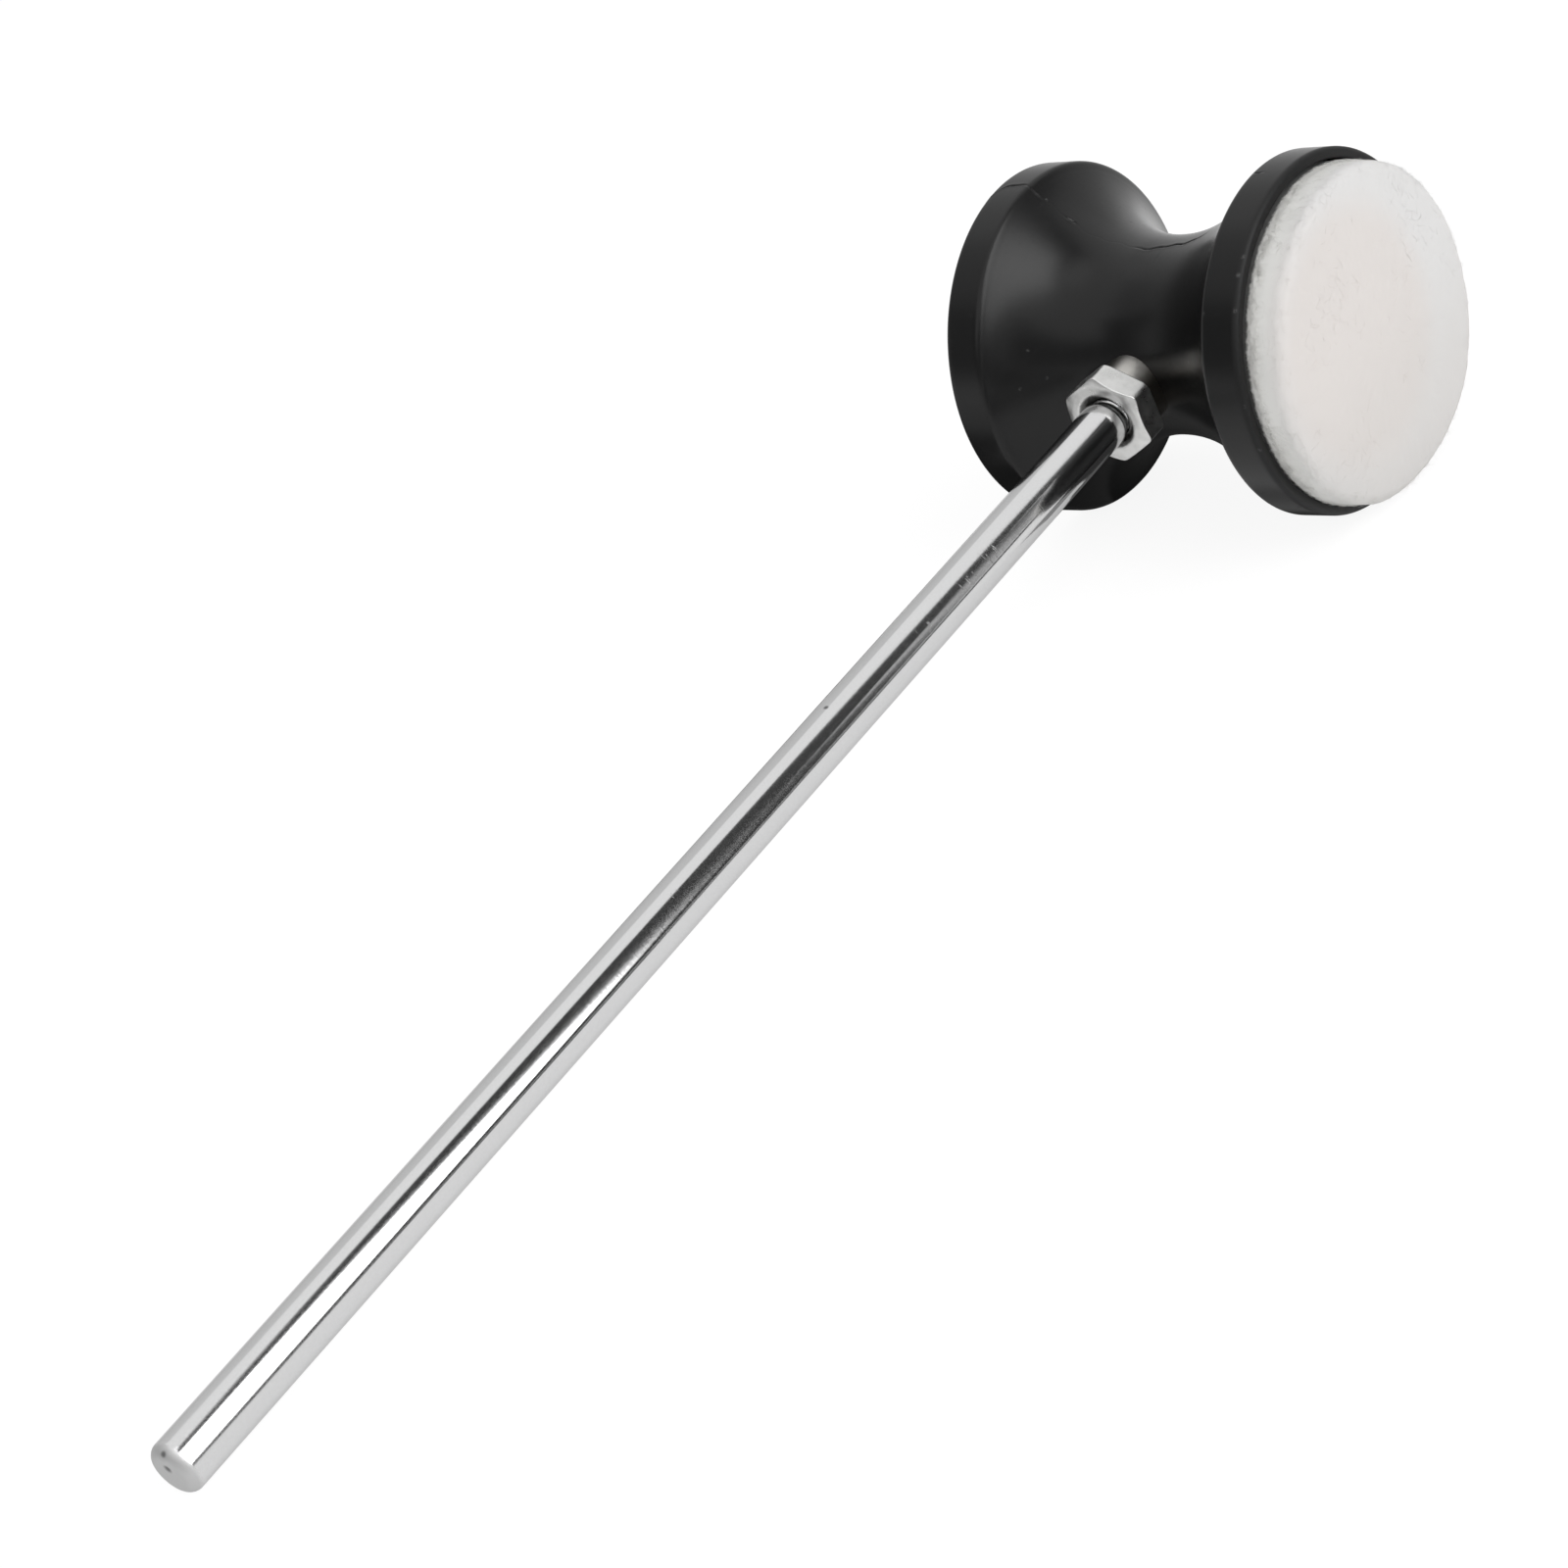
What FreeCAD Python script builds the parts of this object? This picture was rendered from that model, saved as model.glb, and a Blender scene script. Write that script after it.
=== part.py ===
"""Bass drum beater: a chromed rod screwed into a moulded spool head and locked by a thin nut.

The rod lies along +X with the head at its far end. The head's axis is Y, its felt disc faces -Y, and
+Z is up. The origin is on the rod's axis, in the middle of the stretch that a pedal's clamp grips.
All sizes are in mm.
"""
import FreeCAD, Part

import math
import os

import Sketcher

SIZES = {
    # Rod: a plain shank with a threaded end.
    "rod_diameter": 6.0,
    "rod_reach": 191.0,
    "clamp_inset": 16.0,
    "rod_end_round": 1.25,
    "thread_diameter": 5.35,
    "thread_runout": 0.3,
    "shank_gap": 0.3,
    "thread_end_chamfer": 0.8,
    "thread_end_gap": 1.0,
    # Thin lock nut.
    "nut_flats": 10.5,
    "nut_thickness": 3.6,
    "nut_face_diameter": 10.4,
    "nut_chamfer_angle": 30.0,
    "nut_countersink": 0.8,
    # Metal insert moulded into the waist.
    "collar_diameter": 9.0,
    "collar_proud": 3.0,
    "collar_sink": 1.6,
    "barrel_diameter": 8.2,
    "barrel_length": 11.5,
    "barrel_end_chamfer": 0.4,
    "groove_diameter": 7.0,
    "groove_width": 2.4,
    "groove_inset": 6.0,
    "flute_count": 12,
    "flute_diameter": 0.9,
    "insert_floor": 1.2,
    "insert_countersink": 0.5,
    # Moulded spool head.
    "head_diameter": 43.2,
    "hard_reach": 19.8,
    "felt_reach": 23.0,
    "band_width": 5.0,
    "waist_diameter": 24.2,
    "rim_round": 0.6,
    "crease_round": 0.8,
    "recess_depth": 3.2,
    "lip_wall": 1.4,
    # Felt disc and its glue.
    "felt_proud": 5.0,
    "felt_edge_round": 1.0,
    "felt_crown": 0.5,
    "glue_inset": 0.5,
    "glue_thickness": 0.2,
    # Clearances between pieces.
    "thread_gap": 0.05,
    "seat_gap": 0.05,
    "mould_gap": 0.02,
    "felt_gap": 0.2,
}

# Places along the rod's axis, and derived sizes, as expressions on the sheet.
HEAD_X = "(rod_reach - clamp_inset)"
ROD_RADIUS = "rod_diameter / 2"
THREAD_RADIUS = "thread_diameter / 2"
THREAD_BORE = "(thread_diameter / 2 + thread_gap)"
COLLAR_FACE = "(waist_diameter / 2 + collar_proud)"
BARREL_END = "(waist_diameter / 2 - collar_sink - barrel_length)"
BORE_END = f"({BARREL_END} + insert_floor)"
NUT_X = f"({HEAD_X} - {COLLAR_FACE} - seat_gap - nut_thickness)"
THREAD_START = f"({NUT_X} - shank_gap)"
THREAD_END = f"({HEAD_X} - {BORE_END} - thread_end_gap)"
RECESS_FLOOR = "(felt_reach - recess_depth)"
RECESS_RADIUS = "(head_diameter / 2 - lip_wall)"
FELT_RADIUS = f"({RECESS_RADIUS} - felt_gap)"

doc = FreeCAD.newDocument("bass_drum_beater")
sheet = doc.addObject("Spreadsheet::Sheet", "Sizes")


def fill_sheet():
    """Write each driving size into its own named cell."""
    for row, (alias, value) in enumerate(SIZES.items(), start=1):
        sheet.set(f"A{row}", alias)
        sheet.set(f"B{row}", str(value))
        sheet.setAlias(f"B{row}", alias)
    doc.recompute()


def on_sheet(expression):
    """The expression with every size read from the sheet."""
    words = []
    word = ""
    for letter in expression + " ":
        if letter.isalnum() or letter == "_":
            word += letter
            continue
        words.append(f"Sizes.{word}" if word in SIZES else word)
        words.append(letter)
        word = ""
    return "".join(words).strip()


def value_of(expression):
    """The expression's present value, used to draw a sketch near its final place."""
    return float(sheet.evalExpression(on_sheet(expression)))


def new_body(label, x="0"):
    """A named body standing at (x, 0, 0) in the part's frame."""
    body = doc.addObject("PartDesign::Body", label)
    body.Label = label
    body.setExpression("Placement.Base.x", on_sheet(x))
    doc.recompute()
    return body


def new_sketch(body, name, plane):
    """An empty sketch on one of the body's own origin planes."""
    sketch = body.newObject("Sketcher::SketchObject", name)
    support = [item for item in body.Origin.OriginFeatures if item.Role == plane][0]
    sketch.AttachmentSupport = [(support, "")]
    sketch.MapMode = "FlatFace"
    return sketch


def bind(sketch, constraint, expression):
    """Add a driving dimension to a sketch and tie it to the sheet."""
    index = sketch.addConstraint(constraint)
    sketch.setExpression(f"Constraints[{index}]", on_sheet(expression))


def place_vertex(sketch, edge, end, point):
    """Tie a sketch vertex to signed distances from the sketch's origin; a distance of "0" is an axis."""
    for kind, axis, expression in (("DistanceX", -2, point[0]), ("DistanceY", -1, point[1])):
        if expression == "0":
            sketch.addConstraint(Sketcher.Constraint("PointOnObject", edge, end, axis))
        else:
            distance = value_of(expression)
            bind(sketch, Sketcher.Constraint(kind, -1, 1, edge, end, distance), expression)


def arc_between(start, end, radius, bulge):
    """An arc of the given radius from start to end; bulge +1 turns left along the way, -1 turns right."""
    chord = end - start
    height = math.sqrt(radius ** 2 - chord.Length ** 2 / 4)
    left = FreeCAD.Vector(-chord.y, chord.x, 0).normalize()
    middle = (start + end) / 2 - left * bulge * (radius - height)
    return Part.Arc(start, middle, end)


def draw_profile(sketch, points, arcs=None):
    """Draw a closed outline of expressions; arcs maps an edge's number to its (radius, bulge)."""
    arcs = arcs or {}
    corners = [FreeCAD.Vector(value_of(x), value_of(y), 0) for x, y in points]
    ends = []
    for index, start in enumerate(corners):
        end = corners[(index + 1) % len(corners)]
        if index not in arcs:
            sketch.addGeometry(Part.LineSegment(start, end), False)
            ends.append((1, 2))
            continue
        radius, bulge = arcs[index]
        sketch.addGeometry(arc_between(start, end, value_of(radius), bulge), False)
        ends.append((1, 2) if bulge > 0 else (2, 1))
    for index, (first, last) in enumerate(ends):
        following = (index + 1) % len(ends)
        sketch.addConstraint(Sketcher.Constraint("Coincident", index, last, following, ends[following][0]))
        place_vertex(sketch, index, first, points[index])
        if index in arcs:
            radius = arcs[index][0]
            bind(sketch, Sketcher.Constraint("Radius", index, value_of(radius)), radius)


def turn(body, name, kind, points, axis, arcs=None):
    """A Revolution or Groove of a closed profile about the sketch's H_Axis (X) or V_Axis (Y)."""
    sketch = new_sketch(body, name + "_profile", "XY_Plane")
    draw_profile(sketch, points, arcs)
    doc.recompute()
    before = body.Shape.Volume if kind == "Groove" else 0.0
    feature = body.newObject("PartDesign::" + kind, name)
    feature.Profile = sketch
    feature.ReferenceAxis = (sketch, [axis])
    feature.Angle = 360
    doc.recompute()
    if kind == "Groove" and not feature.Shape.Volume < before:
        raise RuntimeError(f"{name} cut nothing")


def make_shaft():
    """The chromed rod: rounded free end, plain shank, short runout and the threaded end."""
    body = new_body("shaft")
    profile = [
        ("-clamp_inset", "0"),
        ("-clamp_inset", f"{ROD_RADIUS} - rod_end_round"),
        ("-clamp_inset + rod_end_round", ROD_RADIUS),
        (f"{THREAD_START} - thread_runout", ROD_RADIUS),
        (THREAD_START, THREAD_RADIUS),
        (f"{THREAD_END} - thread_end_chamfer", THREAD_RADIUS),
        (THREAD_END, f"{THREAD_RADIUS} - thread_end_chamfer"),
        (THREAD_END, "0"),
    ]
    turn(body, "rod_turning", "Revolution", profile, "H_Axis", {1: ("rod_end_round", -1)})
    return body


def make_lock_nut():
    """The thin hex nut: corners chamfered on both faces, bore countersunk at both ends."""
    body = new_body("lock_nut", NUT_X)
    sketch = new_sketch(body, "hexagon", "YZ_Plane")
    corner = "(nut_flats / sqrt(3))"
    flat = "nut_flats / 2"
    hexagon = [
        (f"-{flat}", f"-{corner} / 2"),
        ("0", f"-{corner}"),
        (flat, f"-{corner} / 2"),
        (flat, f"{corner} / 2"),
        ("0", corner),
        (f"-{flat}", f"{corner} / 2"),
    ]
    draw_profile(sketch, hexagon)
    doc.recompute()
    pad = body.newObject("PartDesign::Pad", "hexagon_bar")
    pad.Profile = sketch
    pad.setExpression("Length", on_sheet("nut_thickness"))
    doc.recompute()
    face = "nut_face_diameter / 2"
    rise = f"({corner} - {face}) * tan(nut_chamfer_angle * 1deg)"
    near = [("0", face), ("0", corner), (rise, corner)]
    far = [("nut_thickness", face), (f"nut_thickness - {rise}", corner), ("nut_thickness", corner)]
    turn(body, "near_corner_chamfer", "Groove", near, "H_Axis")
    turn(body, "far_corner_chamfer", "Groove", far, "H_Axis")
    mouth = f"{THREAD_BORE} + nut_countersink"
    bore = [
        ("0", "0"),
        ("0", mouth),
        ("nut_countersink", THREAD_BORE),
        ("nut_thickness - nut_countersink", THREAD_BORE),
        ("nut_thickness", mouth),
        ("nut_thickness", "0"),
    ]
    turn(body, "nut_bore", "Groove", bore, "H_Axis")
    return body


def make_insert_blank(label, gap):
    """The insert's outside, grown by gap: a round collar, and a fluted barrel with a ring groove.

    The flutes and the groove key it in the plastic. Distances run from the head's axis towards the rod.
    """
    body = new_body(label, HEAD_X)
    collar_end = "waist_diameter / 2 - collar_sink"
    groove_near = f"{collar_end} - groove_inset"
    groove_far = f"{groove_near} - groove_width"
    barrel = f"barrel_diameter / 2 + {gap}"
    profile = [
        (f"-({COLLAR_FACE})", "0"),
        (f"-({COLLAR_FACE})", f"collar_diameter / 2 + {gap}"),
        (f"-({collar_end} - {gap})", f"collar_diameter / 2 + {gap}"),
        (f"-({collar_end} - {gap})", barrel),
        (f"-({groove_near} + {gap})", barrel),
        (f"-({groove_near} + {gap})", f"groove_diameter / 2 + {gap}"),
        (f"-({groove_far} - {gap})", f"groove_diameter / 2 + {gap}"),
        (f"-({groove_far} - {gap})", barrel),
        (f"-({BARREL_END} + barrel_end_chamfer - {gap})", barrel),
        (f"-({BARREL_END} - {gap})", f"{barrel} - barrel_end_chamfer"),
        (f"-({BARREL_END} - {gap})", "0"),
    ]
    turn(body, label + "_turning", "Revolution", profile, "H_Axis")
    cut_flutes(body, label, gap)
    return body


def cut_flutes(body, label, gap):
    """Straight round flutes along the barrel, which stop the insert turning in the plastic."""
    sketch = new_sketch(body, label + "_flute", "YZ_Plane")
    sketch.setExpression("AttachmentOffset.Base.z", on_sheet(f"-({BARREL_END} - {gap})"))
    centre = FreeCAD.Vector(value_of("barrel_diameter / 2"), 0, 0)
    radius = f"flute_diameter / 2 - {gap}"
    sketch.addGeometry(Part.Circle(centre, FreeCAD.Vector(0, 0, 1), value_of(radius)), False)
    place_vertex(sketch, 0, 3, ("barrel_diameter / 2", "0"))
    bind(sketch, Sketcher.Constraint("Radius", 0, value_of(radius)), radius)
    doc.recompute()
    before = body.Shape.Volume
    flute = body.newObject("PartDesign::Pocket", label + "_flute_cut")
    flute.Profile = sketch
    flute.setExpression("Length", on_sheet("barrel_length"))
    doc.recompute()
    pattern = body.newObject("PartDesign::PolarPattern", label + "_flutes")
    pattern.Originals = [flute]
    pattern.Axis = (sketch, ["N_Axis"])
    pattern.Angle = 360
    pattern.setExpression("Occurrences", on_sheet("flute_count"))
    body.Tip = pattern
    doc.recompute()
    if not body.Shape.Volume < before:
        raise RuntimeError(f"{label} has no flutes")


def make_threaded_insert():
    """The moulded-in metal insert with its blind bore for the rod's thread."""
    body = make_insert_blank("threaded_insert", "0")
    mouth = f"{THREAD_BORE} + insert_countersink"
    bore = [
        (f"-({COLLAR_FACE})", "0"),
        (f"-({COLLAR_FACE})", mouth),
        (f"-({COLLAR_FACE} - insert_countersink)", THREAD_BORE),
        (f"-({BORE_END})", THREAD_BORE),
        (f"-({BORE_END})", "0"),
    ]
    turn(body, "insert_bore", "Groove", bore, "H_Axis")
    return body


def flare_radius(crease):
    """Radius of the arc that leaves the waist squarely and meets the rim at the crease."""
    fall = "(head_diameter / 2 - waist_diameter / 2)"
    return f"({crease} * {crease} + {fall} * {fall}) / (2 * {fall})"


def round_creases(body, places):
    """Round the ring edges at these places along the head's axis, where the flares meet the rims."""
    turning = body.Tip
    rim = value_of("head_diameter / 2")
    heights = [value_of(place) for place in places]
    edges = []
    for number, edge in enumerate(turning.Shape.Edges, start=1):
        if not isinstance(edge.Curve, Part.Circle) or not math.isclose(edge.Curve.Radius, rim):
            continue
        if any(math.isclose(edge.Curve.Center.y, height) for height in heights):
            edges.append(f"Edge{number}")
    if len(edges) != len(places):
        raise RuntimeError("a crease is missing")
    fillet = body.newObject("PartDesign::Fillet", "crease_fillet")
    fillet.Base = (turning, edges)
    fillet.setExpression("Radius", on_sheet("crease_round"))
    doc.recompute()


def make_beater_head():
    """The moulded spool: two rims, hollow flares down to a waist, a felt recess and the insert's seat."""
    blank = new_body("head_spool", HEAD_X)
    rim = "head_diameter / 2"
    felt_crease = "(felt_reach - band_width)"
    hard_crease = "(hard_reach - band_width)"
    profile = [
        ("0", f"-{RECESS_FLOOR}"),
        (RECESS_RADIUS, f"-{RECESS_FLOOR}"),
        (RECESS_RADIUS, "-felt_reach"),
        (f"{rim} - rim_round", "-felt_reach"),
        (rim, "-(felt_reach - rim_round)"),
        (rim, f"-{felt_crease}"),
        ("waist_diameter / 2", "0"),
        (rim, hard_crease),
        (rim, "hard_reach - rim_round"),
        (f"{rim} - rim_round", "hard_reach"),
        ("0", "hard_reach"),
    ]
    arcs = {
        3: ("rim_round", 1),
        5: (flare_radius(felt_crease), -1),
        6: (flare_radius(hard_crease), -1),
        8: ("rim_round", 1),
    }
    turn(blank, "spool_turning", "Revolution", profile, "V_Axis", arcs)
    round_creases(blank, [f"-{felt_crease}", hard_crease])
    seat = make_insert_blank("insert_seat", "mould_gap")
    head = doc.addObject("Part::Cut", "beater_head")
    head.Label = "beater_head"
    head.Base = blank
    head.Tool = seat
    doc.recompute()
    if not head.Shape.Volume < blank.Shape.Volume:
        raise RuntimeError("the insert's seat cut nothing")
    return head


def make_felt_pad():
    """The pressed felt disc: flat back, rounded front edge and a faint crown."""
    body = new_body("felt_pad", HEAD_X)
    back = f"({RECESS_FLOOR} + glue_thickness)"
    front = "(felt_reach + felt_proud)"
    shoulder = f"({FELT_RADIUS} - felt_edge_round)"
    crown = f"({shoulder} * {shoulder} + felt_crown * felt_crown) / (2 * felt_crown)"
    profile = [
        ("0", f"-{front}"),
        (shoulder, f"-({front} - felt_crown)"),
        (FELT_RADIUS, f"-({front} - felt_crown - felt_edge_round)"),
        (FELT_RADIUS, f"-{back}"),
        ("0", f"-{back}"),
    ]
    turn(body, "felt_turning", "Revolution", profile, "V_Axis", {0: (crown, 1), 1: ("felt_edge_round", 1)})
    return body


def make_felt_glue():
    """The film of glue between the felt and the floor of its recess."""
    film = doc.addObject("Part::Cylinder", "felt_glue")
    film.Label = "felt_glue"
    film.setExpression("Radius", on_sheet(f"{FELT_RADIUS} - glue_inset"))
    film.setExpression("Height", on_sheet("glue_thickness"))
    film.Placement.Rotation = FreeCAD.Rotation(FreeCAD.Vector(1, 0, 0), 90)
    film.setExpression("Placement.Base.x", on_sheet(HEAD_X))
    film.setExpression("Placement.Base.y", on_sheet(f"-{RECESS_FLOOR}"))
    doc.recompute()
    return film


def check_document(pieces):
    """Stop if any object failed or any piece is empty or faulty."""
    doc.recompute()
    for item in doc.Objects:
        if "Invalid" in item.State or "Error" in item.State:
            raise RuntimeError(f"{item.Label} is {item.State}")
    for piece in pieces:
        if piece.Shape.isNull() or not piece.Shape.isValid() or len(piece.Shape.Solids) != 1:
            raise RuntimeError(f"{piece.Label} isn't one sound solid")


def write_pieces(pieces):
    """Write each piece to its own file and print its volume."""
    os.makedirs("parts", exist_ok=True)
    for piece in pieces:
        piece.Shape.exportStep(f"parts/{piece.Label}.step")
        print(f"{piece.Label}: {piece.Shape.Volume:.1f} mm3")


fill_sheet()
made = [
    make_shaft(),
    make_lock_nut(),
    make_threaded_insert(),
    make_beater_head(),
    make_felt_pad(),
    make_felt_glue(),
]
check_document(made)
write_pieces(made)
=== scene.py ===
import bpy
import numpy as np
from mathutils import Matrix, Vector


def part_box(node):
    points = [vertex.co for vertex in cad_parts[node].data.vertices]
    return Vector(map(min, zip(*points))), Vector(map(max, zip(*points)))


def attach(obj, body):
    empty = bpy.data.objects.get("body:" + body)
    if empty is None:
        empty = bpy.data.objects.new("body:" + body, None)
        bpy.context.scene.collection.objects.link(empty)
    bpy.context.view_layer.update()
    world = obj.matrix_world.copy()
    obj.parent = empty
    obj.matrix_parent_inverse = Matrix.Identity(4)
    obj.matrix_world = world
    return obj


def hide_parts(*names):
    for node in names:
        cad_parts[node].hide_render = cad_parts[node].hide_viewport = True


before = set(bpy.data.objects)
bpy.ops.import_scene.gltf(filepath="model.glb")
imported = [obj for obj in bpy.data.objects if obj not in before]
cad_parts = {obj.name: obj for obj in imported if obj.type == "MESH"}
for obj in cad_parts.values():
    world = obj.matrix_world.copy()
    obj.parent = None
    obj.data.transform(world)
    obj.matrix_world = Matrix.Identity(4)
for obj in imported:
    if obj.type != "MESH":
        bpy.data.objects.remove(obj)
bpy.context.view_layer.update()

# Rod: a straight steel bar, ground round and chrome plated, with a sawn free end that is rounded over.
# Its other end has a rolled M6 thread. The head and the lock nut screw onto it, and it carries them both.
MM = 0.001
ROD_RADIUS = 3.0
ROD_END_ROUND = 1.25
ROD_COLUMNS = 96
ROD_FACE_ROWS = 16
ROD_SHANK_ROWS = 160
ROD_RUNOUT = 0.3
ROD_SHANK_GAP = 0.6
THREAD_PITCH = 1.0
THREAD_CREST = 2.675
THREAD_DEPTH = 0.3
THREAD_STEP = 0.125
THREAD_CHAMFER = 0.8
END_PITS = ((0.34, -0.46, 2.56, 0.24), (0.0, -0.17, 0.81, 0.34))
END_PIT_DEPTH = 0.10
ROD_HANDLED = 45.0
CHROME_COLOR = (0.69, 0.69, 0.693, 1.0)
DULL_CHROME = (0.60, 0.60, 0.60, 1.0)
DIRT_COLOR = (0.10, 0.10, 0.10, 1.0)
ROD_NICK = (96.96, -0.34, 2.98)
ROD_SCUFFS = ((122.4, -2.27, 1.96), (113.1, -2.24, 1.99), (127.7, -2.06, 2.18), (66.0, -2.1, 2.14))


class Signal:
    """One output of a node tree. Arithmetic on it adds Math nodes, also with the number first."""

    def __init__(self, tree, socket):
        self.tree = tree
        self.socket = socket

    def math(self, operation, first, second):
        return self.tree.add("ShaderNodeMath", {"operation": operation}, {0: first, 1: second})

    def __add__(self, other):
        return self.math("ADD", self, other)

    def __sub__(self, other):
        return self.math("SUBTRACT", self, other)

    def __mul__(self, other):
        return self.math("MULTIPLY", self, other)

    def __rsub__(self, other):
        return self.math("SUBTRACT", other, self)

    __radd__ = __add__
    __rmul__ = __mul__


class Finish:
    """A material's or the world's node tree, built one node at a time."""

    def __init__(self, owner):
        owner.use_nodes = True
        self.owner = owner
        self.nodes = owner.node_tree.nodes
        self.links = owner.node_tree.links
        self.nodes.clear()

    def add(self, kind, settings, sockets, output=0):
        """Add a node: its settings first, then its sockets' values or links; gives the chosen output."""
        node = self.nodes.new(kind)
        for name, value in settings.items():
            setattr(node, name, value)
        for name, value in sockets.items():
            if isinstance(value, Signal):
                self.links.new(value.socket, node.inputs[name])
            else:
                node.inputs[name].default_value = value
        return Signal(self, node.outputs[output]) if len(node.outputs) else None

    def place(self, part=0):
        """The surface point in the part's own frame, in metres, or one of its coordinates from 1 to 3."""
        point = self.add("ShaderNodeTexCoord", {}, {}, "Object")
        return self.add("ShaderNodeSeparateXYZ", {}, {0: point}, part - 1) if part else point

    def noise(self, scale, detail, stretch=(1, 1, 1)):
        """Soft random relief from 0 to 1, with the point first stretched along the axes."""
        point = self.add("ShaderNodeMapping", {}, {"Vector": self.place(), "Scale": stretch})
        return self.add("ShaderNodeTexNoise", {}, {"Vector": point, "Scale": scale, "Detail": detail})

    def ramp(self, value, low, high, to_low=0.0, to_high=1.0):
        """A smooth step from to_low to to_high as the value goes from low to high."""
        names = {"Value": value, "From Min": low, "From Max": high, "To Min": to_low, "To Max": to_high}
        return self.add("ShaderNodeMapRange", {"interpolation_type": "SMOOTHSTEP"}, names)

    def near(self, centre, inner, outer):
        """1 within the inner distance of a point in mm, falling to 0 at the outer one."""
        at = [value * MM for value in centre]
        names = {0: self.place(), 1: at}
        distance = self.add("ShaderNodeVectorMath", {"operation": "DISTANCE"}, names, "Value")
        return self.ramp(distance, inner * MM, outer * MM, 1.0, 0.0)

    def blend(self, share, first, second):
        """Mix of two colours by a share from 0 to 1."""
        settings = {"data_type": "RGBA"}
        return self.add("ShaderNodeMix", settings, {"Factor": share, 6: first, 7: second}, 2)

    def bump(self, height, strength, distance):
        """Surface normal tilted by a height signal; the distance is in mm."""
        names = {"Height": height, "Strength": strength, "Distance": distance * MM}
        return self.add("ShaderNodeBump", {}, names)

    def surface(self, sockets):
        """End the tree in one shader with these sockets."""
        shader = self.add("ShaderNodeBsdfPrincipled", {}, sockets)
        self.add("ShaderNodeOutputMaterial", {}, {"Surface": shader})
        return self.owner


def new_finish(name):
    return Finish(bpy.data.materials.new(name))


def mesh_piece(name, grid, material, ring=False):
    """A closed mesh from a grid of points in mm, rows by columns, that goes round along each row.

    The first and last rows close at a pole each, or, for a ring, the last row joins the first.
    """
    rows, columns = grid.shape[:2]
    index = np.arange(rows * columns).reshape(rows, columns)
    beside = np.roll(index, -1, axis=1)
    lower, upper = (index, np.roll(index, -1, axis=0)) if ring else (index[:-1], index[1:])
    lower_beside, upper_beside = (beside, np.roll(beside, -1, axis=0)) if ring else (beside[:-1], beside[1:])
    faces = np.stack([lower, lower_beside, upper_beside, upper], axis=-1).reshape(-1, 4).tolist()
    points = grid.reshape(-1, 3)
    if not ring:
        points = np.vstack([points, grid[0].mean(axis=0), grid[-1].mean(axis=0)])
        first = np.full(columns, rows * columns)
        faces += np.stack([first, beside[0], index[0]], axis=-1).tolist()
        faces += np.stack([index[-1], beside[-1], first + 1], axis=-1).tolist()
    mesh = bpy.data.meshes.new(name)
    mesh.from_pydata((points * MM).tolist(), [], faces)
    mesh.shade_smooth()
    mesh.materials.append(material)
    piece = bpy.data.objects.new(name, mesh)
    bpy.context.scene.collection.objects.link(piece)
    return piece


def spun_on_x(along, radius, turn):
    """Turned shape about the rod: rows at these places along X and radii, carried round the turn angles."""
    along, radius, turn = np.broadcast_arrays(along, radius, turn)
    return np.stack([along, radius * np.cos(turn), radius * np.sin(turn)], axis=-1)


def around(columns):
    """One full turn as a row of equal angles."""
    return np.linspace(0, 2 * np.pi, columns, endpoint=False)[None, :]


def thread_height(along, turn):
    """Height of a right-hand thread, 0 at its root and 1 at its flat crest: a triangle wave of the
    distance along the axis, less the share of a turn, cut off at both ends."""
    phase = (along / THREAD_PITCH - turn / (2 * np.pi)) % 1.0
    return np.clip((np.abs(2 * phase - 1) - 0.15) / 0.6, 0, 1)


def column(*parts):
    """Several runs of numbers joined into one upright column."""
    return np.concatenate([np.atleast_1d(part) for part in parts]).astype(float)[:, None]


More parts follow.
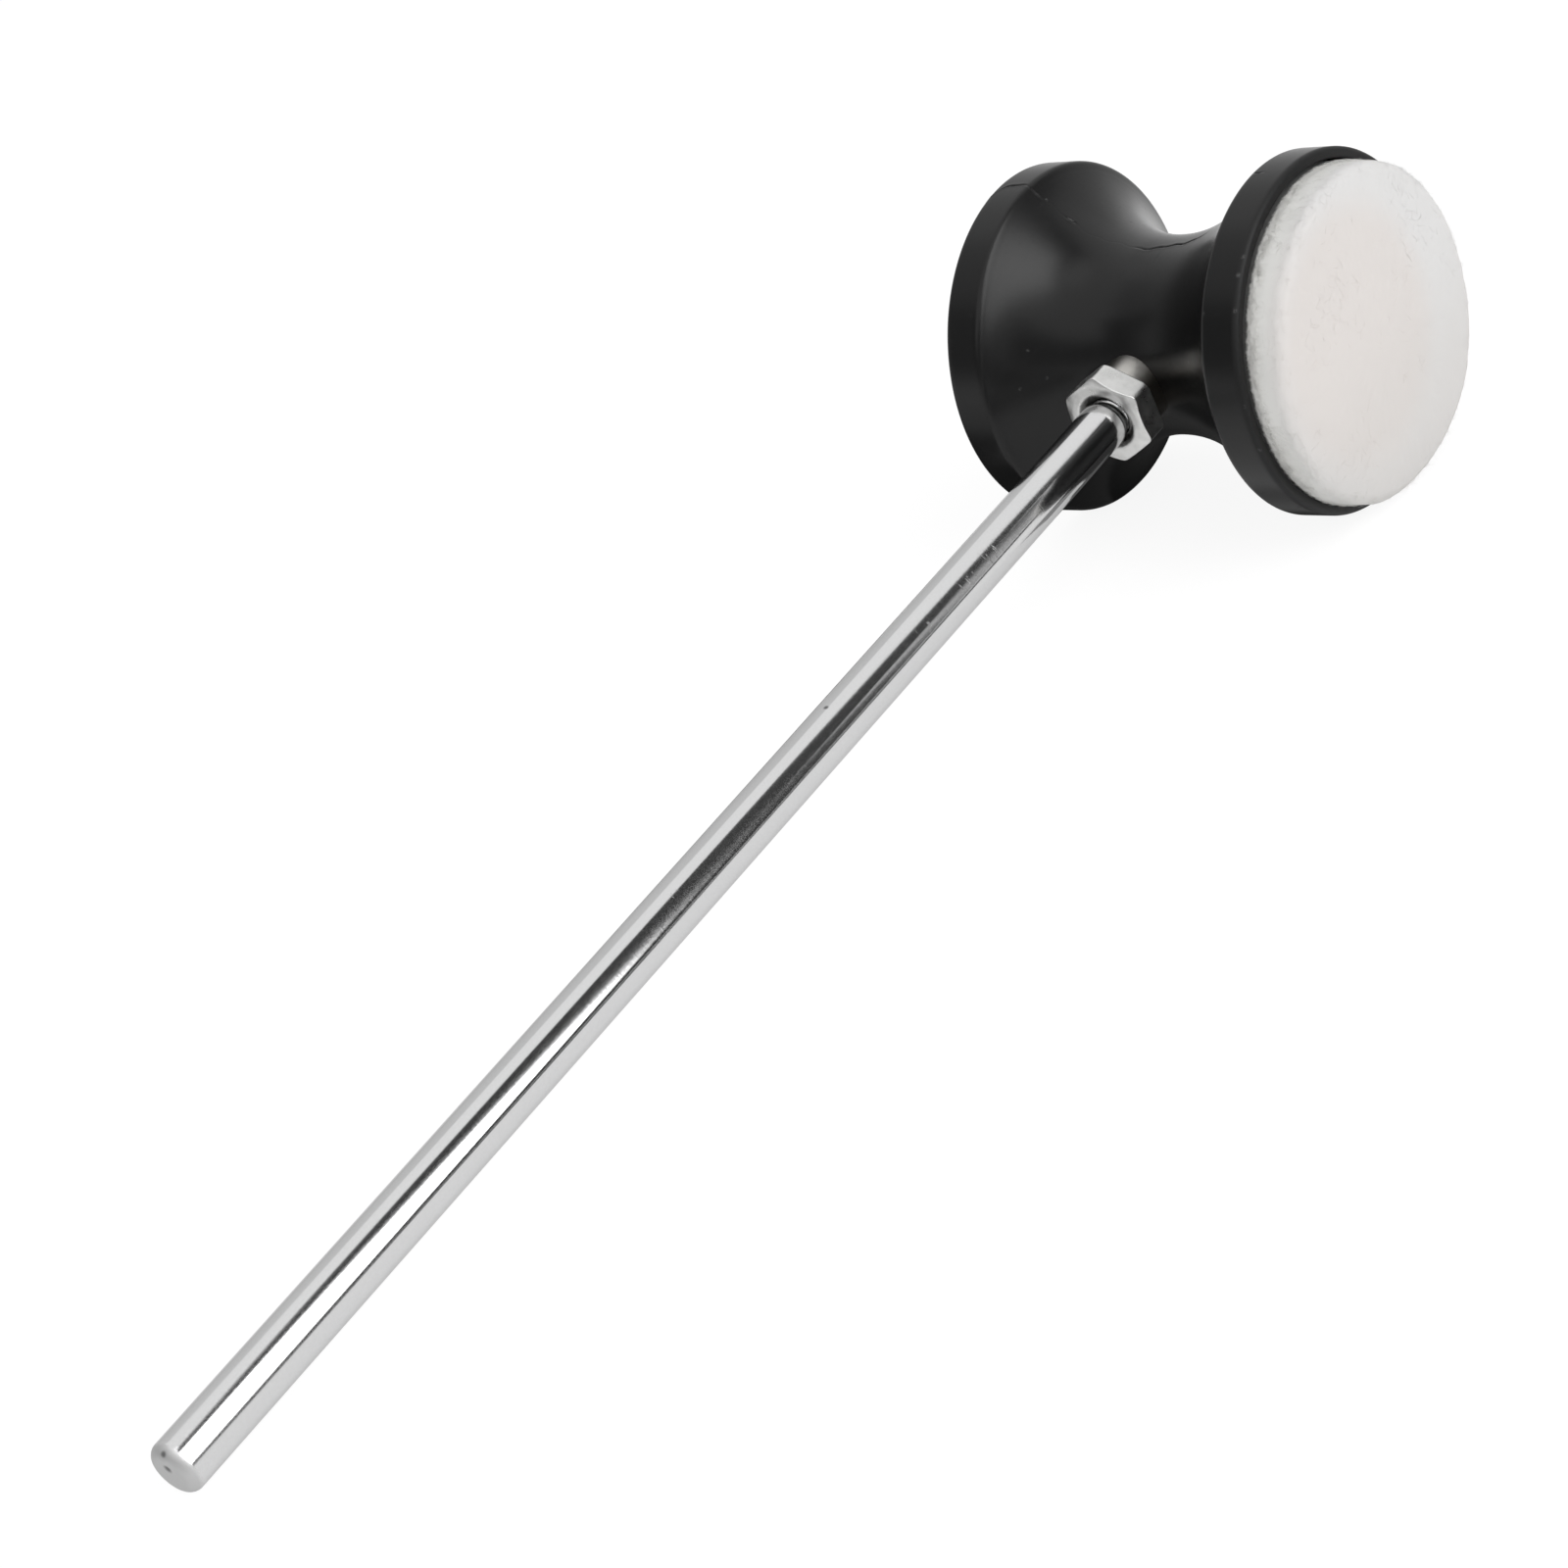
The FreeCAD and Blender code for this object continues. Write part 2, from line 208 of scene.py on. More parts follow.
def rod_grid():
    """End face with its pits, quarter round, shank, runout, thread and chamfered end, as one grid."""
    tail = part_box("shaft")[0].x / MM
    thread_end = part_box("shaft")[1].x / MM
    shank_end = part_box("lock_nut")[0].x / MM - ROD_SHANK_GAP
    thread_start = shank_end + ROD_RUNOUT
    turn = around(ROD_COLUMNS)
    face = np.linspace(0.12, ROD_RADIUS - ROD_END_ROUND, ROD_FACE_ROWS)
    bend = np.radians(np.arange(7.5, 91, 7.5))
    shank = np.linspace(tail + ROD_END_ROUND + 0.4, shank_end - 0.1, ROD_SHANK_ROWS)
    thread = np.arange(thread_start, thread_end - THREAD_CHAMFER, THREAD_STEP)
    along = column(np.full(face.size, tail), tail + ROD_END_ROUND * (1 - np.cos(bend)), shank, shank_end,
                   thread, thread_end - 0.1, thread_end, thread_end)
    end_radius = THREAD_CREST - THREAD_CHAMFER
    radius = column(face, ROD_RADIUS - ROD_END_ROUND * (1 - np.sin(bend)), np.full(shank.size, ROD_RADIUS),
                    ROD_RADIUS, np.full(thread.size, THREAD_CREST), end_radius + 0.1, end_radius, 0.3)
    along, radius, turn = np.broadcast_arrays(along, radius, turn)
    fade = np.clip(np.minimum(along - thread_start, thread_end - 0.4 - along) / THREAD_CHAMFER, 0, 1)
    threaded = (along >= thread_start) & (along < thread_end - THREAD_CHAMFER)
    cut = np.where(threaded, THREAD_DEPTH * fade * (1 - thread_height(along, turn)), 0.0)
    grid = spun_on_x(along, radius - cut, turn)
    at_end = along <= tail + ROD_END_ROUND
    for _, y, z, spread in END_PITS:
        away = (grid[..., 1] - y) ** 2 + (grid[..., 2] - z) ** 2
        grid[..., 0] += np.where(at_end, END_PIT_DEPTH * np.exp(-away / (2 * spread ** 2)), 0.0)
    return grid


def chrome_finish():
    """Bright plate over fine grinding lines that run round the rod, with a few scuffs, one nick and a pale
    grain. It is a little duller where a clamp holds it, and dull on the sawn end with its two dirty pits."""
    finish = new_finish("rod_chrome")
    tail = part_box("shaft")[0].x
    lines = finish.noise(5200, 2, (1, 0.06, 0.06))
    grain = finish.noise(1900, 4)
    speckle = finish.ramp(finish.noise(4200, 2), 0.30, 0.70)
    end = finish.ramp(finish.place(1), tail + 0.7 * MM, tail + 1.3 * MM, 1.0, 0.0)
    pits = [finish.near((tail / MM + x, y, z), 0.5 * spread, 1.9 * spread) for x, y, z, spread in END_PITS]
    handled = finish.ramp(finish.place(1), tail, tail + ROD_HANDLED * MM, 1.0, 0.0)
    nick = finish.near(ROD_NICK, 0.10, 0.42)
    scuff = finish.ramp(finish.noise(5200, 2, (1, 0.12, 0.12)), 0.62, 0.72)
    places = [finish.near(centre, 0.6, 2.4) for centre in ROD_SCUFFS]
    worn = scuff * sum(places[1:], places[0])
    rough = 0.08 + 0.06 * grain + 0.05 * handled + 0.44 * end + 0.25 * worn
    color = finish.blend(0.20 * speckle, CHROME_COLOR, DULL_CHROME)
    color = finish.blend(0.9 * end, color, DULL_CHROME)
    dirt = finish.add("ShaderNodeClamp", {}, {"Value": 0.85 * nick + 0.72 * (pits[0] + pits[1])})
    color = finish.blend(dirt, color, DIRT_COLOR)
    height = 0.30 * lines + 0.12 * grain + 0.5 * worn - 1.2 * nick
    normal = finish.bump(height, 0.10, 0.05)
    return finish.surface({"Base Color": color, "Metallic": 1.0, "Roughness": rough, "Normal": normal,
                           "Specular Tint": (0.72, 0.72, 0.72, 1)})


rod = mesh_piece("shaft_rod", rod_grid(), chrome_finish())
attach(rod, "shaft")
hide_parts("shaft")

# Lock nut: a thin M6 hexagon nut of cold-formed steel, bright zinc plated, chamfered on both faces.
# It runs on the rod's thread and is tightened against the collar of the head's insert.
NUT_FLATS = 10.5
NUT_FACE_RADIUS = 5.2
NUT_BACK_RADIUS = 5.75
NUT_CHAMFER = np.radians(30)
NUT_EDGE = 0.20
NUT_CORNER_POWER = 26
NUT_COLUMNS = 360
NUT_WALL_ROWS = 5
BORE_CREST = 2.725
BORE_DEPTH = 0.28
NUT_COUNTERSINK = 1.0


def hexagon_radius(turn):
    """Radius of a hexagon with soft corners: its six flats' distances joined by a high-power mean."""
    flats = np.radians(60) * np.arange(6)[:, None, None]
    reach = np.clip(np.cos(turn[None] - flats), 0, 1) ** NUT_CORNER_POWER
    return NUT_FLATS / 2 * reach.sum(axis=0) ** (-1 / NUT_CORNER_POWER)


def nut_face(hexagon, face_radius):
    """Depths and radii of one face's rows: countersink, flat ring, and the chamfer that a cone of 30 degrees
    cuts off the corners outside the face's radius."""
    chamfer = np.clip(hexagon - face_radius, 0, None) * np.tan(NUT_CHAMFER)
    flat_edge = np.minimum(hexagon, face_radius) - NUT_EDGE - 0.04
    bend = np.radians([[0], [30], [60], [90]])
    mouth = BORE_CREST + NUT_COUNTERSINK
    blank = np.zeros_like(hexagon)
    depth = [blank + NUT_COUNTERSINK, blank + 0.06, blank, blank, blank, blank,
             chamfer + NUT_EDGE * (1 - np.cos(bend)), chamfer + NUT_EDGE + 0.05]
    radius = [blank + BORE_CREST, blank + mouth - 0.03, blank + mouth + 0.06, blank + mouth + 0.3,
              0.5 * (flat_edge + mouth + 0.3), flat_edge,
              hexagon - NUT_EDGE * (1 - np.sin(bend)), hexagon]
    return np.vstack(depth), np.vstack(radius)


def nut_grid():
    """Rows from the threaded bore over the front face, round the flats to the back face and in again."""
    near, far = (corner.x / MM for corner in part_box("lock_nut"))
    thick = far - near
    turn = around(NUT_COLUMNS)
    hexagon = hexagon_radius(turn)
    front_x, front_r = nut_face(hexagon, NUT_FACE_RADIUS)
    back_x, back_r = nut_face(hexagon, NUT_BACK_RADIUS)
    wall = np.linspace(0.25, 0.75, NUT_WALL_ROWS)[:, None] * thick + 0 * turn
    bore = np.arange(thick - NUT_COUNTERSINK - 0.1, NUT_COUNTERSINK + 0.05, -THREAD_STEP)
    inside = bore[:, None] + 0 * turn
    along = near + np.vstack([front_x, wall, thick - back_x[::-1], inside])
    thread = BORE_CREST + BORE_DEPTH * thread_height(near + inside, turn)
    radius = np.vstack([front_r, hexagon + 0 * wall, back_r[::-1], thread])
    return spun_on_x(along, radius, turn)


def zinc_finish():
    """Bright zinc plate: soft gloss, a fine crystalline grain and cloudy patches. The bore and its
    countersink are painted dark, as painted shade.
    """
    finish = new_finish("nut_zinc")
    grain = finish.noise(1500, 5)
    cloud = finish.ramp(finish.noise(620, 3), 0.30, 0.70)
    y, z = finish.place(2), finish.place(3)
    # Painted shade: the bore and the countersink are coloured dark, where shade falls in them.
    bore_painted_shade = finish.ramp(y * y + z * z, (3.45 * MM) ** 2, (3.8 * MM) ** 2, 1.0, 0.0)
    color = finish.blend(cloud, (0.60, 0.60, 0.59, 1), (0.74, 0.74, 0.73, 1))
    color = finish.blend(0.7 * bore_painted_shade, color, (0.16, 0.16, 0.155, 1))
    rough = 0.20 + 0.14 * grain + 0.10 * cloud
    normal = finish.bump(grain + 0.4 * cloud, 0.20, 0.08)
    return finish.surface({"Base Color": color, "Metallic": 1.0, "Roughness": rough, "Normal": normal})


nut = mesh_piece("lock_nut_hexagon", nut_grid(), zinc_finish(), ring=True)
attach(nut, "lock_nut")
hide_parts("lock_nut")

# Threaded insert: a turned steel bush, nickel plated, with a round collar and a fluted, grooved barrel.
# The head is moulded round it, so only the collar shows, and the lock nut bears on the collar's face.
HEAD_X = 175.0
COLLAR_RADIUS = 4.5
COLLAR_FACE = 15.1
COLLAR_BACK = 10.5
COLLAR_EDGE = 0.25
BARREL_RADIUS = 4.1
BARREL_END = -1.0
GROOVE_RADIUS = 3.5
GROOVE_NEAR = 4.5
GROOVE_FAR = 2.1
INSERT_BORE_END = 0.2
INSERT_COUNTERSINK = 0.5
FLUTES = 12
FLUTE_RADIUS = 0.45
INSERT_COLUMNS = 192


def insert_grid():
    """Rows from the blind bore's floor out to the collar's face, back over the collar and down the barrel.

    Distances run from the head's axis towards the rod. A flute is a round gully, as deep at each angle
    as a circle on the barrel's wall reaches inwards.
    """
    turn = around(INSERT_COLUMNS)
    bend = np.radians([0, 30, 60, 90])
    bore = np.arange(INSERT_BORE_END, COLLAR_FACE - INSERT_COUNTERSINK, THREAD_STEP)
    mouth = BORE_CREST + INSERT_COUNTERSINK
    edge_t = COLLAR_FACE - COLLAR_EDGE * (1 - np.cos(bend))
    edge_r = COLLAR_RADIUS - COLLAR_EDGE * (1 - np.sin(bend))
    collar_t = np.linspace(COLLAR_FACE - COLLAR_EDGE - 0.1, COLLAR_BACK, 12)
    barrel_t = np.array([COLLAR_BACK, GROOVE_NEAR + 0.05, GROOVE_NEAR, GROOVE_FAR, GROOVE_FAR - 0.05,
                         BARREL_END + 0.4, BARREL_END, BARREL_END])
    barrel_r = np.array([BARREL_RADIUS, BARREL_RADIUS, GROOVE_RADIUS, GROOVE_RADIUS, BARREL_RADIUS,
                         BARREL_RADIUS, BARREL_RADIUS - 0.4, 0.4])
    distance = column(INSERT_BORE_END, bore, COLLAR_FACE - INSERT_COUNTERSINK, COLLAR_FACE - 0.05,
                      COLLAR_FACE, edge_t, collar_t, barrel_t)
    radius = column(0.4, np.full(bore.size, BORE_CREST), BORE_CREST, mouth - 0.05, mouth + 0.06,
                    edge_r, np.full(collar_t.size, COLLAR_RADIUS), barrel_r)
    along, radius, turn = np.broadcast_arrays(HEAD_X - distance, radius, turn)
    threaded = np.zeros(distance.shape, bool)
    threaded[1:1 + bore.size] = True
    radius = radius + np.where(threaded, BORE_DEPTH * thread_height(along, turn), 0.0)
    spacing = 2 * np.pi / FLUTES
    across = BARREL_RADIUS * ((turn + spacing / 2) % spacing - spacing / 2)
    gully = np.sqrt(np.clip(FLUTE_RADIUS ** 2 - across ** 2, 0, None))
    on_barrel = np.arange(distance.size)[:, None] >= distance.size - barrel_t.size
    fluted = on_barrel & (radius > GROOVE_RADIUS + 0.1)
    radius = radius - np.where(fluted, gully, 0.0)
    return spun_on_x(along, radius, turn)


def nickel_finish():
    """Turned nickel-plated steel: fine rings from the lathe tool and a warm, slightly dull gloss. Both
    sides of the collar are painted dark brown, as painted shade standing in for the black head that they
    mirror."""
    finish = new_finish("insert_nickel")
    rings = finish.noise(3800, 2, (1, 0.05, 0.05))
    cloud = finish.noise(700, 3)
    # Painted shade: both sides of the collar are coloured dark brown, for the dark head that they mirror.
    collar_painted_shade = finish.ramp(finish.place(2), -4.2 * MM, -2.7 * MM, 1.0, 0.0)
    collar_painted_shade = collar_painted_shade + 0.85 * finish.ramp(finish.place(2), -0.9 * MM, 2.2 * MM)
    color = finish.blend(cloud, (0.50, 0.485, 0.455, 1), (0.66, 0.645, 0.615, 1))
    color = finish.blend(0.85 * collar_painted_shade, color, (0.12, 0.105, 0.085, 1))
    rough = 0.22 + 0.12 * rings + 0.10 * cloud
    normal = finish.bump(rings, 0.22, 0.05)
    return finish.surface({"Base Color": color, "Metallic": 1.0, "Roughness": rough, "Normal": normal})


insert = mesh_piece("threaded_insert_bush", insert_grid(), nickel_finish())
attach(insert, "head")
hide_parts("threaded_insert")

# Head: a spool of hard black plastic, moulded in two halves whose seam runs along it on both sides.
# Two rims flare out of a waist. One face has a recess for the felt, and the other is bare for hard strokes.
RIM_RADIUS = 21.6
WAIST_RADIUS = 12.1
HARD_REACH = 19.8
FELT_REACH = 23.0
BAND_WIDTH = 5.0
RIM_ROUND = 0.6
CREASE_ROUND = 0.8
RECESS_RADIUS = 20.2
RECESS_FLOOR = 19.8
HEAD_STEP = 0.5
HEAD_COLUMNS = 300
SEAM_TURN = np.radians(88)
SEAM_DEPTH = 0.20
SEAM_WIDTH = 0.15
SEAM_BURR = 0.03
SEAM_FAINT = 0.04
SEAM_FADE = 1.2
SEAM_CROWD = np.radians([0, 0.08, 0.18, 0.3, 0.45, 0.65, 0.9, 1.2, 1.6])
SEAM_BEND_REACH = 0.28
SEAM_RUN_OUT = np.radians(9)
SEAM_RUN_OUT_LENGTH = 3.2
SEAM_MARKS = ((14.2, 0.5, 0.45), (10.9, 0.4, 1.0))
PLASTIC_COLOR = (0.0042, 0.0042, 0.0044, 1)
PLASTIC_SPECKS = ((160.3, 11.18, 7.6), (175.9, 13.45, 19.2), (160.1, 9.84, 3.8), (157.7, 12.3, 3.85),
                  (158.2, -18.3, 13.6), (160.6, -11.6, 5.5))
RIM_BURRS = ((161.3, -22.5, 16.7), (158.4, -22.6, 13.8), (153.7, -22.9, 3.8), (163.1, -22.6, 18.0),
             (153.6, -22.9, -2.0))


def spun_on_head(radius, along, turn):
    """Turned shape about the head's axis: rows at these radii and places along Y, round the turn angles."""
    radius, along, turn = np.broadcast_arrays(radius, along, turn)
    return np.stack([HEAD_X + radius * np.cos(turn), along, radius * np.sin(turn)], axis=-1)


def rounded_path(corners, step):
    """A path through (radius, along, round) corners: each corner is replaced by an arc that is tangent
    to both its sides, and long straights are divided so that no stretch is longer than the step."""
    corners = np.asarray(corners, float)
    pieces = [corners[:1, :2]]
    for before, (x, y, radius), after in zip(corners[:-2], corners[1:-1], corners[2:]):
        corner = np.array([x, y])
        back = (before[:2] - corner) / np.linalg.norm(before[:2] - corner)
        on = (after[:2] - corner) / np.linalg.norm(after[:2] - corner)
        half = np.arccos(np.clip(back @ on, -1, 1)) / 2
        if radius == 0 or half > np.radians(89):
            pieces.append(corner[None])
            continue
        centre = corner + (back + on) / np.linalg.norm(back + on) * radius / np.sin(half)
        start = corner + back * radius / np.tan(half) - centre
        end = corner + on * radius / np.tan(half) - centre
        share = np.linspace(0, 1, 7)[:, None]
        swing = np.pi - 2 * half
        arc = np.sin((1 - share) * swing) * start + np.sin(share * swing) * end
        pieces.append(centre + arc / np.sin(swing))
    pieces.append(corners[-1:, :2])
    path = np.vstack(pieces)
    count = np.maximum(np.ceil(np.linalg.norm(np.diff(path, axis=0), axis=1) / step), 1).astype(int)
    start = np.repeat(np.arange(count.size), count)
    share = (np.arange(start.size) - np.repeat(np.cumsum(count) - count, count)) / count[start]
    divided = path[start] + share[:, None] * (path[start + 1] - path[start])
    return np.vstack([divided, path[-1:]])


def flare(crease, share):
    """Radius of a flare at a share of the way from the waist to its crease: a circle that leaves the
    waist along the head's axis and meets the rim at the crease."""
    fall = RIM_RADIUS - WAIST_RADIUS
    sweep = (crease ** 2 + fall ** 2) / (2 * fall)
    return WAIST_RADIUS + sweep - np.sqrt(sweep ** 2 - (share * crease) ** 2)


def head_path():
    """The spool's half outline, from the middle of the felt recess round to the middle of the hard face."""
    felt_crease = FELT_REACH - BAND_WIDTH
    hard_crease = HARD_REACH - BAND_WIDTH
    felt_share = np.linspace(1, 0, 36)
    hard_share = np.linspace(0, 1, 30)
    felt_side = np.column_stack([flare(felt_crease, felt_share), -felt_share * felt_crease, np.zeros(36)])
    hard_side = np.column_stack([flare(hard_crease, hard_share), hard_share * hard_crease, np.zeros(30)])
    felt_side[0, 2] = CREASE_ROUND
    hard_side[-1, 2] = CREASE_ROUND
    recess = [(0.4, -RECESS_FLOOR, 0), (RECESS_RADIUS, -RECESS_FLOOR, 0.2), (RECESS_RADIUS, -FELT_REACH, 0.2),
              (RIM_RADIUS, -FELT_REACH, RIM_ROUND)]
    face = [(RIM_RADIUS, HARD_REACH, RIM_ROUND), (0.4, HARD_REACH, 0)]
    return rounded_path(np.vstack([recess, felt_side, hard_side[1:], face]), HEAD_STEP)


def seam_wander(along):
    """How far the seam strays round the head, as an angle: two slow waves, and a run-out at the hard rim."""
    waves_here = np.radians(0.9) * np.sin(0.9 * along + 0.5) + np.radians(0.5) * np.sin(2.3 * along)
    return waves_here + SEAM_RUN_OUT * np.clip(1 + (along - HARD_REACH) / SEAM_RUN_OUT_LENGTH, 0, 1) ** 2


def seam_strength(along):
    """How deep the seam is cut, from 0 to 1: full on the bands and at the waist, and faint on the flares,
    apart from two short marks."""
    hard_band = np.clip((along - HARD_REACH + BAND_WIDTH) / SEAM_FADE, 0, 1)
    felt_band = np.clip((-along - FELT_REACH + BAND_WIDTH) / SEAM_FADE, 0, 1)
    waist = np.exp(-((along + 3.0) / 5.0) ** 6)
    marks = sum(depth * np.exp(-((along - place) / reach) ** 4) for place, reach, depth in SEAM_MARKS)
    broken = 0.7 + 0.3 * np.sin(1.7 * along + 0.6) * np.sin(4.1 * along + 2.0)
    plain = np.maximum(hard_band + felt_band, waist)
    return np.clip(np.maximum(plain, np.maximum(marks, SEAM_FAINT)), 0, 1) * broken


def head_grid():
    """The outline turned about the head's axis, with columns crowded at the two seams. There the trimmed
    flash leaves a furrow, a bell curve of the distance from the seam, with a low burr along its sides."""
    path = head_path()
    seams = np.array([SEAM_TURN, SEAM_TURN + np.pi])
    crowd = np.concatenate([-SEAM_CROWD[:0:-1], SEAM_CROWD])
    turn = np.concatenate([around(HEAD_COLUMNS)[0], (seams[:, None] + crowd).ravel()])
    turn = np.unique(np.round(turn % (2 * np.pi), 6))[::-1][None, :]
    radius = path[:, :1]
    along = path[:, 1:]
    off_seam = (turn - SEAM_TURN + np.pi / 2) % np.pi - np.pi / 2
    gap = np.abs(off_seam) * radius / SEAM_WIDTH
    outside = np.clip((radius - 11.5) / 0.5, 0, 1) * (np.arange(radius.size) > np.argmax(radius))[:, None]
    furrow = -SEAM_DEPTH * np.exp(-gap ** 2) + SEAM_BURR * np.exp(-(gap - 2.2) ** 2)
    bent = turn + seam_wander(along) * np.exp(-(off_seam / SEAM_BEND_REACH) ** 2)
    return spun_on_head(radius + furrow * outside * seam_strength(along), along, bent)


def plastic_finish():
    """Satin moulded plastic: a fine mould grain, slow gloss changes, specks of dirt, and burrs on the
    scuffed lip round the felt."""
    finish = new_finish("head_plastic")
    grain = finish.noise(1800, 3)
    cloud = finish.noise(90, 3)
    scratch = finish.ramp(finish.noise(900, 2, (0.25, 1, 1.6)), 0.66, 0.76)
    spots = [finish.near(centre, 0.04, 0.30) for centre in PLASTIC_SPECKS]
    burrs = [finish.near(centre, 0.06, 0.42) for centre in RIM_BURRS]
    ragged = finish.ramp(finish.noise(3600, 2), 0.35, 0.60)
    marked = sum(spots[1:], spots[0]) + sum(burrs[1:], burrs[0])
    marks = finish.add("ShaderNodeClamp", {}, {"Value": ragged * marked})
    color = finish.blend(marks, PLASTIC_COLOR, (0.06, 0.06, 0.06, 1))
    scuffed = finish.ramp(finish.place(2), -22.6 * MM, -22.0 * MM, 1.0, 0.0)
    rough = 0.24 + 0.07 * cloud + 0.05 * grain + 0.08 * scratch + 0.22 * scuffed
    height = 0.5 * grain + 0.5 * cloud + 0.8 * marks + 0.15 * scratch
    normal = finish.bump(height, 0.10, 0.10)
    return finish.surface({"Base Color": color, "Roughness": rough, "Normal": normal,
                           "Specular IOR Level": 0.33})


spool = mesh_piece("beater_head_spool", head_grid(), plastic_finish())
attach(spool, "head")
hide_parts("beater_head")

# Glue: a thin film of dried contact glue that holds the felt to the floor of its recess.
# It is hidden, and keeps the CAD solid with a finish of its own.


def glue_finish():
    """Dried glue: amber, smeared in soft streaks."""
    finish = new_finish("felt_glue_film")
    streak = finish.noise(160, 3, (1, 1, 4))
    color = finish.blend(streak, (0.42, 0.36, 0.22, 1), (0.62, 0.56, 0.42, 1))
    return finish.surface({"Base Color": color, "Roughness": 0.35 + 0.2 * streak})


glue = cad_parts["felt_glue"]
glue.data.materials.clear()
glue.data.materials.append(glue_finish())

# Felt: a punched disc of pressed white wool, glued into the recess and standing proud of the rim.
# Above the lip it leans over a little and is worn low along one side. Its edge is round, with loose fibres.
FELT_RADIUS = 20.0
FELT_LEAN = np.array([0.32, 0.0, -0.48])
FELT_BACK = 20.0
FELT_EDGE_FRONT = 27.85
FELT_CROWN = 0.2
FELT_EDGE_ROUND = 1.2
FELT_SIDE_RISES = (1.2, 0.9, 0.7, 0.5, 0.35, 0.2, 0.1, -0.3, -0.8)
FELT_WEAR = 1.3
FELT_WORN_SIDE = (-0.62, -0.785)
FELT_WORN_FROM = 13.5
FELT_COLUMNS = 600
FELT_STEP = 0.5
FELT_RNG = np.random.default_rng(11)
FACE_FIBRES = 600
SIDE_FIBRES = 1900
LIP_FIBRES = 4700
FIBRE_RADIUS = 0.016
FIBRE_SIDES = 3
FIBRE_STEPS = 5
FIBRE_LENGTHS = (0.5, 1.5)
FIBRE_LIFTS = (0.03, 0.10, 0.32)
FIBRE_FRONT_GAP = 0.25


def waves(points, wavelength, count):
    """Smooth random field of about unit spread: a sum of cosine waves of random direction and phase."""
    direction = FELT_RNG.normal(size=(3, count))
    direction /= np.linalg.norm(direction, axis=0)
    phase = FELT_RNG.uniform(0, 2 * np.pi, count)
    return np.cos(points @ direction * (2 * np.pi / wavelength) + phase).sum(axis=-1) * np.sqrt(2 / count)


def felt_path():
    """The disc's half outline: crowned front, round edge, side with close rows at the lip, and flat back."""
    share = np.append(np.linspace(0.02, 0.84, 36), 1)
    bulge = FELT_CROWN * (1 - share ** 2)
    front = np.column_stack([share * FELT_RADIUS, -FELT_EDGE_FRONT - bulge, 0 * share])
    front[-1, 2] = FELT_EDGE_ROUND
    side = [(FELT_RADIUS, -FELT_REACH - rise, 0) for rise in FELT_SIDE_RISES]
    back = [(FELT_RADIUS, -FELT_BACK, 0.15), (0.4, -FELT_BACK, 0)]
    return rounded_path(np.vstack([front, side, back]), FELT_STEP)


def settled(points):
    """Points of the felt moved by wear, lean and squeeze. The wear takes the front back towards the rim of
    its lower half, by the square of the distance from where it starts. The lean grows from 0 at the back to
    its full size at the lip. Down to the lip the distance from the axis is brought to the recess wall, where
    the felt is squeezed."""
    share = np.clip((-FELT_BACK - 0.5 - points[..., 1]) / (FELT_REACH - FELT_BACK - 0.5), 0, 1)
    radius = np.hypot(points[..., 0] - HEAD_X, points[..., 2])
    toward = ((points[..., 0] - HEAD_X) * FELT_WORN_SIDE[0] + points[..., 2] * FELT_WORN_SIDE[1]) / radius
    outer = np.clip((radius - FELT_WORN_FROM) / (FELT_RADIUS - FELT_WORN_FROM), 0, 1)
    worn = FELT_WEAR * np.clip((toward - 0.2) / 0.8, 0, 1) * outer ** 2
    depth = np.clip((-FELT_REACH - points[..., 1]) / (FELT_EDGE_FRONT - FELT_REACH), 0, 1)
    moved = points + share[..., None] * FELT_LEAN
    moved[..., 1] += worn * depth
    reach = np.hypot(moved[..., 0] - HEAD_X, moved[..., 2])
    held = np.clip((points[..., 1] + FELT_REACH + 0.5) / 0.45, 0, 1)
    squeeze = 1 - held * (1 - np.minimum(1, (RECESS_RADIUS - 0.04) / reach))
    moved[..., 0] = HEAD_X + (moved[..., 0] - HEAD_X) * squeeze
    moved[..., 2] *= squeeze
    return moved


def felt_grid():
    """The outline turned about the head's axis and leaned over, made uneven by slow swells and fine wool
    lumps on the part that stands out of the recess, and ragged just above the lip."""
    path = felt_path()
    grid = spun_on_head(path[:, :1], path[:, 1:], around(FELT_COLUMNS)[:, ::-1])
    proud = np.clip((-FELT_REACH - 0.2 - grid[..., 1]) / 0.8, 0, 1)
    swell = 0.06 * waves(grid, 13.0, 24) + 0.025 * waves(grid, 3.5, 40) + 0.012 * waves(grid, 1.2, 60)
    radial = grid - np.array([HEAD_X, 0, 0])
    radial[..., 1] = 0
    radial /= np.linalg.norm(radial, axis=-1, keepdims=True)
    front = np.clip((-FELT_EDGE_FRONT + FELT_EDGE_ROUND - grid[..., 1]) / FELT_EDGE_ROUND, 0, 1)
    push = radial * (1 - front)[..., None]
    push[..., 1] = -front
    above = -FELT_REACH - 0.02 - grid[..., 1]
    border = np.exp(-((above - 0.4) / 0.4) ** 2) * np.clip(above / 0.15, 0, 1)
    ragged = border * (0.06 * waves(grid, 1.8, 50) + 0.04 * waves(grid, 0.8, 80))
    return settled(grid) + push * (swell * proud)[..., None] + radial * ragged[..., None]


